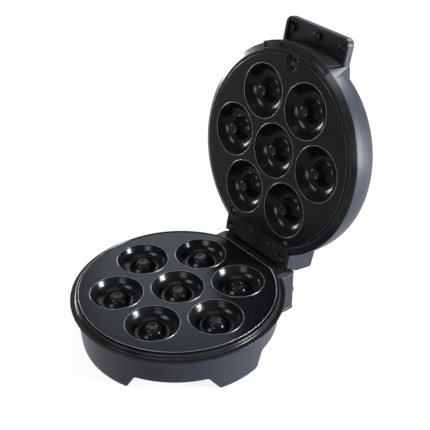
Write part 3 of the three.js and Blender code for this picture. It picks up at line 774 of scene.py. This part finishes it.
def lower_edge():
    """Lower edge of the housing's round wall, as (angle, height), with its three legs."""
    around = 97 * math.pi / 180  # millimetres per degree
    (arch_end, foot_start), (foot_end, arch_start) = SIDE_LEG
    half = [
        (0, LEG_Z), (FRONT_LEG[0], LEG_Z, 3.5), (FRONT_LEG[1], ARCH_FRONT, 4),
        (arch_end, ARCH_FRONT, 4), (foot_start, LEG_Z, 3.5),
        (foot_end, LEG_Z, 3), (arch_start, ARCH_REAR, 3), (180, ARCH_REAR),
    ]
    drawn = rounded([(point[0] * around, *point[1:]) for point in half])
    filled = []
    for (s0, z0), (s1, z1) in zip(drawn, drawn[1:]):
        pieces = max(1, math.ceil((s1 - s0) / 2.6))
        filled += [(s0 + (s1 - s0) * k / pieces, z0 + (z1 - z0) * k / pieces) for k in range(pieces)]
    right = [(s / around, z) for s, z in filled]
    left = [(-angle, z) for angle, z in reversed(right[1:])]
    return [*left, *right, (180, ARCH_REAR)]


def wall_section(top, edge):
    """Section of the wall as (offset from the wall's radius, height), from the top round the edge."""
    lip = EDGE_LIP
    outer = np.linspace(top - 0.3, edge + lip, 17)
    section = [(-WALL + 0.4, top), (-0.5, top), (-0.12, top - 0.12)]
    section += [(0, z) for z in outer]
    for a in np.radians((30, 60, 90)):
        section.append((-lip + lip * math.cos(a), edge + lip - lip * math.sin(a)))
    for a in np.radians((0, 30, 60, 90)):
        section.append((-WALL + lip - lip * math.sin(a), edge + lip - lip * math.cos(a)))
    section += [(-WALL, z) for z in reversed(outer[::4])]
    return section


def round_wall():
    radii, heights = zip(*spline(WALL_CURVE, 10))
    vertices, columns = [], []
    for angle, edge in lower_edge():
        section = wall_section(WALL_CURVE[-1][1], edge)
        columns.append(range(len(vertices), len(vertices) + len(section)))
        for offset, z in section:
            vertices.append((*radial(angle, np.interp(z, heights, radii) + offset), z))
    faces = []
    for left, right in zip(columns, [*columns[1:], columns[0]]):
        for k in range(len(left)):
            n = (k + 1) % len(left)
            faces.append((left[k], right[k], right[n], left[n]))
    return vertices, faces


def leg_floor(angle, half):
    """Floor of one leg, reaching half degrees to either side of an angle."""
    outline = [radial(a, 79) for a in np.linspace(angle - half, angle + half, 12)]
    outline += [radial(a, 91.2) for a in np.linspace(angle + half, angle - half, 12)]
    return solid(prism(outline, LEG_Z + 0.15, 4.2), 0.5)


def base_shell():
    shell = solid(round_wall())
    housing = solid(block((-HINGE_HALF, HINGE_HALF), (84, HINGE_BACK), (4.8, LEDGE_Z - 1.4)), 1.1)
    joined(shell, housing)
    inner = HINGE_HALF - WALL
    cut(shell, solid(block((-inner, inner), (60, HINGE_BACK - WALL), (-1, 60))))
    for angle, half in LEG_FLOORS.items():
        joined(shell, leg_floor(angle, half))
        cut(shell, solid(rod(5.3, radial(angle, LEG_PAD_R), -1, 3)))
    for angle in BOSS_ANGLES:
        boss = radial(angle, BOSS_R)
        rib = solid(block((-1.2, 1.2), (0, 5.6), (20, 38)))
        outward = Matrix.Rotation(math.radians(angle + 180), 4, "Z")
        rib.data.transform(Matrix.Translation((*boss, 0)) @ outward)
        joined(shell, solid(rod(4, boss, 20, 38)), rib)
        cut(shell, solid(rod(1.75, boss, 19, 33)))
    cut(shell, solid(rod(4.9, (0, INLET_Z), 100, 110, "Y")))
    base_piece(shell, "base_housing", GREY, "housing_grey", "base_shell")


def base_trim():
    lip = P - 0.9
    section = rounded([
        (93.35, P - 2.95), (93.35, lip, 0.3), (95.5, lip, 0.9), (95.85, LEDGE_Z, 0.9),
        (100.7, LEDGE_Z, 0.35), (100.75, LEDGE_Z - 1.0, 0.25), (97.4, LEDGE_Z - 1.0),
        (97.4, LEDGE_Z - 2.2), (91.5, LEDGE_Z - 2.2), (TRIM_IN_R, LEDGE_Z - 0.2), (TRIM_IN_R, P - 2.95),
    ], closed=True)
    trim = solid(turned(section, loop=True))

    cover_side = rounded([
        (80, LEDGE_Z - 2.2), (HINGE_BACK, LEDGE_Z - 2.2), (HINGE_BACK, P - 4.6, 0.6),
        (92.6, P - 0.2, 4), (80, P - 0.2),
    ])
    cover = solid(prism(cover_side, -HINGE_HALF - 0.2, HINGE_HALF + 0.2, "X"), 1.2, 1)
    cut(cover, solid(prism(chord_outline(93.6, LOWER_CHORD + GAP), P - 2.95, P + 9)))
    joined(trim, cover)
    cut(trim, solid(prism(chord_outline(TRIM_IN_R, LOWER_CHORD - 3), 0, P + 9)))

    top = arc(5.3, 0, 180, 24, (HINGE_Y, HINGE_Z))
    ear = [(HINGE_Y - 5.3, P - 4), (HINGE_Y + 5.3, P - 6), *top]
    for low, high in (EAR, (-EAR[1], -EAR[0])):
        joined(trim, solid(prism(ear, low, high, "X"), 0.6))
    base_piece(trim, "base_top_trim", BLACK, "trim_black", "base_trim")


def rear_plinth():
    plinth = solid(block((-HINGE_HALF, HINGE_HALF), (88, HINGE_BACK + 0.3), (LEG_Z, 4.5)), 0.6)
    for spot in REAR_FEET.values():
        cut(plinth, solid(rod(5.3, spot, 0, 3)))
    base_piece(plinth, "hinge_housing_foot_block", GREY, "housing_grey", "rear_plinth")


def bottom_cover():
    low, high = 17.2, 19.6
    cover = solid(rod(91.3, (0, 0), low, high, steps=TURN_STEPS), 0.5)
    half = HINGE_HALF - WALL - GAP
    joined(cover, solid(block((-half, half), (70, HINGE_BACK - WALL - GAP), (low + 0.01, high - 0.01))))
    for k in range(-3, 4):
        vent = rounded_rectangle((9 * k - 1.5, 9 * k + 1.5), (-22, 22), 1.4)
        cut(cover, solid(prism(vent, 10, 30)))
    for angle in BOSS_ANGLES:
        cut(cover, solid(rod(1.8, radial(angle, BOSS_R), 0, 30)))
    base_piece(cover, "bottom_panel", BLACK, "trim_black", "base_bottom_cover")


# ------------------------------------------------------------------ lid

# Outer and inner curve of the dome, (radius, height above the lower plate's face).
DOME = [
    (0, 41), (34, 40.4), (66, 38.2), (84, 35.6), (91.6, 33.0), (96.6, 29.0), (99.2, 22.0), (100.5, 13.0),
    (LID_EDGE_R, 5.2),
]
DOME_ROOM = [(98.4, 12), (96.8, 21.5), (93.8, 27.8), (88, 31.8), (66, 35.7), (0, 38.5)]


def tongue(half, back, front, corner, low, high, bevel=0):
    """Slab in the outline of the handle, between two heights."""
    corners = [(-half, back), (-half, -front, corner), (half, -front, corner), (half, back)]
    return solid(prism(rounded(corners, step=0.12), low, high), bevel)


def both_slots(made, y, high):
    """Cuts the two slots for the hinge ears."""
    for low, far in ((-SLOT[1], -SLOT[0]), SLOT):
        cut(made, solid(block((low, far), y, (0, high))))


def lid_shell():
    outer = [(r, P + z) for r, z in spline(DOME, 8)]
    lower = rounded([outer[-1], (LID_EDGE_R, LID_EDGE_Z, 0.5), (98.9, LID_EDGE_Z, 0.3), (98.4, P + 12)])
    ceiling = [(r, P + z) for r, z in spline(DOME_ROOM, 6)]
    shell = solid(turned(outer + lower[1:] + ceiling[1:]))

    housing = rounded([
        (76, P + 2.7), (103.8, P + 2.7, 1), (109.2, P + 17.2, 2.5), (108.5, P + 37.2, 2.5),
        (92, P + 38.2), (76, P + 38),
    ])
    joined(shell, solid(prism(housing, -HINGE_HALF, HINGE_HALF, "X"), 1.3))
    joined(shell, tongue(HANDLE_HALF, -80, HANDLE_TIP, 6.5, HANDLE_RIM, HANDLE_TOP, 1.1))
    for side in (-1, 1):
        joined(shell, cheek(side))

    # Everything inside the dome and in the hinge housing is hollow.
    cut(shell, solid(turned([(0, 0), (98.5, 0), *ceiling])))
    housing_room = [
        (70, P - 20), (103.8 - WALL, P - 20), (103.8 - WALL, P + 2.7), (109.2 - WALL, P + 17.2),
        (108.5 - WALL, P + 37.2 - WALL), (92, P + 38.2 - WALL), (70, P + 38.4 - WALL),
    ]
    cut(shell, solid(prism(housing_room, WALL - HINGE_HALF, HINGE_HALF - WALL, "X")))
    both_slots(shell, (90, 115), P + 16)
    tray = tongue(HANDLE_HALF - WALL, -60, HANDLE_TIP - WALL, 4.4, HANDLE_RIM - 5, TRAY_Z + GAP)
    cut(tray, solid(rod(LID_EDGE_R, (0, 0), 0, 110, steps=TURN_STEPS)))
    cut(shell, tray)
    rib = [(93, P + 6.7), (101, P + 3), (103.6, P + 3), (107, P + 12.5), (107, P + 36.5), (93, P + 36.5)]
    for low, high in ((29, SLOT[0]), (SLOT[1], 45)):
        joined(shell, solid(prism(rib, low, high, "X")), solid(prism(rib, -high, -low, "X")))
    for spot in LENS_SPOTS.values():
        cut(shell, solid(rod(3.5, spot, P + 30, 110)))
    trim_room = [
        (0, 0), (100.65, 0), (100.65, LID_EDGE_Z - 0.02), (98.4, LID_EDGE_Z - 0.02), (98.4, P + 6.65),
        (0, P + 6.65),
    ]
    cut(shell, solid(turned(trim_room)))
    lid_piece(shell, "lid_housing", GREY, "housing_grey", "lid_shell")


def cheek(side):
    """Flared wall between the handle and the round side of the lid."""
    corners = [
        (40.3, -92.4, LID_EDGE_Z), (42.4, -91.4, LID_EDGE_Z), (50.2, -87.3, LID_EDGE_Z),
        (46, -82, LID_EDGE_Z), (40.3, -84, LID_EDGE_Z),
        (HANDLE_HALF, -95, HANDLE_TOP), (44, -83, HANDLE_TOP), (40.3, -82, HANDLE_TOP),
        (40.3, -94.2, HANDLE_TOP),
    ]
    body = bmesh.new()
    for x, y, z in corners:
        body.verts.new((side * x, y, z))
    hull = bmesh.ops.convex_hull(body, input=body.verts)
    bmesh.ops.delete(body, geom=hull["geom_interior"], context="VERTS")
    bmesh.ops.dissolve_limit(body, angle_limit=0.02, verts=body.verts, edges=body.edges)
    body.verts.index_update()
    part = [tuple(v.co) for v in body.verts], [tuple(v.index for v in f.verts) for f in body.faces]
    body.free()
    return solid(part, 0.7)


def front_wedge(half):
    """Wedge that holds what lies within half degrees of the front."""
    reach = 130 * math.tan(math.radians(half))
    return solid(prism([(0, 0), (-reach, -130), (reach, -130)], 0, 90))


def lid_trim():
    seat = LID_Z + PLATE_T + GAP
    top = P + 6.3
    plate_room = UPPER_R + GAP
    ring = rounded([
        (TRIM_IN_R, seat), (plate_room, seat), (plate_room, P + 1.8, 0.3), (95, P + 1.5, 2),
        (100.4, P + 3.8, 0.3), (100.4, LID_EDGE_Z - 0.2), (98, LID_EDGE_Z - 0.2),
        (98, top), (TRIM_IN_R, top),
    ], closed=True)
    trim = solid(turned(ring, loop=True))

    # The raised front part has a channel along its crest, with a bridge near either end.
    raised = rounded([
        (94.4, P + 2.2), (94.5, P + 0.6, 0.4), (101.7, P + 2.9, 0.5), (102.4, P + 3.6, 0.4),
        (102.4, LID_EDGE_Z - 0.2, 0.2), (97, LID_EDGE_Z - 0.2), (97, P + 2.6),
    ], closed=True)
    latch = solid(turned(raised, loop=True))
    common(latch, front_wedge(LATCH_HALF))
    groove = rounded([
        (96.2, P - 3), (100.9, P - 3), (100.9, P + 3.4, 0.3), (96.2, P + 3.4, 0.3),
    ], closed=True)
    channel = solid(turned(groove, loop=True))
    common(channel, front_wedge(LATCH_HALF - 1.2))
    for x in (-20, 20):
        cut(channel, solid(block((x - 0.5, x + 0.5), (-110, -80), (0, 90))))
    cut(latch, channel)
    joined(trim, latch)

    # The tab along the hinge carries a bar, a boss, a slot and a slanting rib.
    tab_side = rounded([
        (78, P + 1.2), (98.7, P + 1.2, 0.3), (98.7, P + 1.6), (103.4, P + 1.6), (103.4, P + 2.35),
        (94.5, P + 2.35), (94.5, top), (78, top),
    ])
    joined(trim, solid(prism(tab_side, 1.8 - HINGE_HALF, HINGE_HALF - 1.8, "X")))
    joined(trim, solid(block((-30, 16), (97.3, 98.0), (P + 0.6, P + 2)), 0.2))
    joined(trim, solid(rod(2.9, (18.3, 92.4), P + 0.3, P + 2), 0.4))
    cut(trim, solid(rod(1.5, (18.3, 92.4), P - 1, P + 1.6)))
    cut(trim, solid(prism(rounded_rectangle((-14.4, -12.6), (87.4, 92.8), 0.8), P - 1, P + 2)))
    slanting = [(-6.2, 88.0), (-5.4, 87.6), (4.0, 95.4), (3.4, 96.0)]
    joined(trim, solid(prism(slanting, P + 0.7, P + 2), 0.15))

    cut(trim, solid(prism(chord_outline(plate_room, UPPER_CHORD + GAP), 0, seat)))
    cut(trim, solid(prism(chord_outline(TRIM_IN_R, UPPER_CHORD - 3), 0, P + 30)))
    for spot in UPPER_SCREWS.values():
        cut(trim, solid(rod(4.9, spot, 0, seat)))
        collar = [
            (1.8, top), (5.2, top), (5.2, LID_Z + 1.2), (5.0, LID_Z + 0.5), (4.2, LID_Z + 0.5),
            (3.9, LID_Z + 1.0), (3.9, seat), (1.8, seat),
        ]
        joined(trim, solid(turned(collar, SMALL_STEPS, spot, loop=True)))
    both_slots(trim, (93, 112), P + 20)
    lid_piece(trim, "lid_inner_trim", BLACK, "trim_black", "lid_trim")


def handle_cover():
    wall_in, wall_out = LID_EDGE_R + 0.3, LID_EDGE_R + 1.7
    half = HANDLE_HALF - WALL - 0.15
    tip = HANDLE_TIP - WALL - 0.15
    tray = tongue(half, -60, tip, 4.2, HANDLE_RIM + 0.3, TRAY_Z)
    cut(tray, solid(rod(wall_in, (0, 0), 0, 110, steps=TURN_STEPS)))
    cut(tray, tongue(half - 1.3, -50, tip - 1.3, 3.2, 0, TRAY_Z - 1.4))

    low, high = P + 4.6, TRAY_Z - 0.8
    curved = rounded([(wall_in, low), (wall_out, low, 0.4), (wall_out, high), (wall_in, high)], closed=True)
    finger_wall = solid(turned(curved, loop=True))
    common(finger_wall, solid(block((-half + 0.02, half - 0.02), (-130, -40), (0, 110))))
    joined(tray, finger_wall)

    flange = tongue(HANDLE_HALF - 0.8, -60, HANDLE_TIP - 0.8, 5.8, HANDLE_RIM - 0.5, HANDLE_RIM + 0.5, 0.2)
    cut(flange, tongue(half - 1.4, -50, tip - 1.4, 3.2, 0, 110))
    cut(flange, solid(rod(wall_in + 0.2, (0, 0), 0, 110, steps=TURN_STEPS)))
    joined(tray, flange)
    for spot in HANDLE_SCREWS.values():
        joined(tray, solid(rod(4.0, spot, TRAY_Z - 4.3, TRAY_Z - 1), 0.4))
        cut(tray, solid(rod(2.8, spot, 0, TRAY_Z - 2.6)))
    lid_piece(tray, "handle_tray", BLACK, "trim_black", "handle_cover")


# ------------------------------------------------------------------ small pieces


def screw(spot, head, tip, radius, height=1.8, shank=1.3):
    """Pan-head screw with a cross recess; the head faces away from its tip."""
    sign = 1 if tip > head else -1
    under = head + sign * height
    made = solid(turned(rounded([
        (0, head), (radius * 0.55, head, 1.0), (radius, head + sign * height * 0.75, 0.4),
        (radius, under), (shank, under), (shank, tip), (0, tip),
    ]), SMALL_STEPS, spot))
    arm, wide = radius * 0.58, 0.42
    low, high = sorted((head - sign, head + sign))
    for x, y in ((arm, wide), (wide, arm)):
        cut(made, solid(block((spot[0] - x, spot[0] + x), (spot[1] - y, spot[1] + y), (low, high))))
    return made


def foot(name, spot):
    """Rubber pad under a leg."""
    made = solid(turned(rounded([(0, 0), (5, 0, 0.7), (5, 2.6, 0.3), (0, 2.6)]), SMALL_STEPS, spot))
    base_piece(made, f"foot_pad_{name}", RUBBER, "rubber", f"foot_{name}")


def bumper(name, side):
    """Rubber nub on the back of the hinge housing."""
    nub = rounded([(0, 0.2), (3.0, 0.2), (2.9, 1.6), (2.3, 3.7, 0.9), (0, 3.7)])
    made = solid(turned(nub, SMALL_STEPS))
    at = Matrix.Translation((side * 41.5, HINGE_BACK, P - 29))
    made.data.transform(at @ Matrix.Rotation(-math.pi / 2, 4, "X"))
    base_piece(made, f"bumper_{name}", RUBBER, "rubber", f"rear_bumper_{name}")


def hinge_pin(name, side):
    low, high = sorted((side * 29.6, side * 43.2))
    made = solid(rod(2.0, (HINGE_Y, HINGE_Z), low, high, "X"), 0.4)
    base_piece(made, f"pin_{name}", STEEL, "steel", f"hinge_pin_{name}")


def all_screws():
    for k, angle in enumerate(BOSS_ANGLES, 1):
        made = screw(radial(angle, BOSS_R), 15.1, 28, 3.0, shank=1.4)
        base_piece(made, f"cover_screw_{k}", STEEL, "steel", f"bottom_cover_screw_{k}")
    for k, angle in enumerate((0, 120, 240), 1):
        made = screw(radial(angle, 84.2), P - 7.3, P - 2.9, 3.0, shank=1.4)
        base_piece(made, f"plate_screw_{k}", STEEL, "steel", f"lower_plate_screw_{k}")
    for name, spot in HANDLE_SCREWS.items():
        made = screw(spot, TRAY_Z - 4.2, TRAY_Z + 1.8, 2.5, 1.5, 1.15)
        lid_piece(made, f"tray_screw_{name}", DARK_STEEL, "dark_steel", f"handle_screw_{name}")
    for name, spot in UPPER_SCREWS.items():
        made = screw(spot, LID_Z + 0.9, P + 11, 3.3)
        lid_piece(made, f"upper_screw_{name}", DARK_STEEL, "dark_steel", f"upper_plate_screw_{name}")


def lamp_lens(name, finish, slot):
    bulb = rounded([(0, P + 35), (3.2, P + 35), (3.2, P + 39.6, 1.2), (0, P + 40.4)])
    made = solid(turned(bulb, SMALL_STEPS, LENS_SPOTS[name]))
    lid_piece(made, f"{name}_lens", finish, slot, f"{name}_lamp_lens")


def lead_bush():
    bush = rounded([
        (3.2, 0), (7, 0, 0.8), (7, 3.5, 0.8), (4.6, 3.5), (4.6, 7), (6, 7, 0.6), (6, 8.5, 0.6), (3.2, 8.5),
    ], closed=True)
    made = solid(turned(bush, SMALL_STEPS, loop=True))
    at = Matrix.Translation((0, HINGE_BACK + 3.8, INLET_Z))
    made.data.transform(at @ Matrix.Rotation(math.pi / 2, 4, "X"))
    base_piece(made, "lead_bush", RUBBER, "rubber", "cord_inlet_bush")


def small_pieces():
    for name, angle in (("front", 0), ("right", 90), ("left", -90)):
        foot(name, radial(angle, LEG_PAD_R))
    for name, side in (("left", -1), ("right", 1)):
        foot(f"rear_{name}", REAR_FEET[name])
        bumper(name, side)
        hinge_pin(name, side)
    all_screws()
    lamp_lens("power", RED, "red_lens")
    lamp_lens("ready", GREEN, "green_lens")
    lead_bush()


lower_plate()
upper_plate()
base_shell()
base_trim()
rear_plinth()
bottom_cover()
lid_shell()
lid_trim()
handle_cover()
small_pieces()


# ------------------------------------------------------------------ carried-over CAD nodes

SLOT_FINISH = {
    "housing_grey": GREY,
    "trim_black": BLACK,
    "non_stick": COATING,
    "steel": STEEL,
    "dark_steel": DARK_STEEL,
    "galvanised": GALVANISED,
    "heater": HEATER,
    "rubber": RUBBER,
    "ceramic": CERAMIC,
    "bakelite": BAKELITE,
    "red_lens": RED,
    "green_lens": GREEN,
}
for subpart in frame["record"]["subparts"]:
    node = frame["nodes"][subpart["node"]]
    node.data.materials.clear()
    node.data.materials.append(SLOT_FINISH[subpart["material_slot"]])
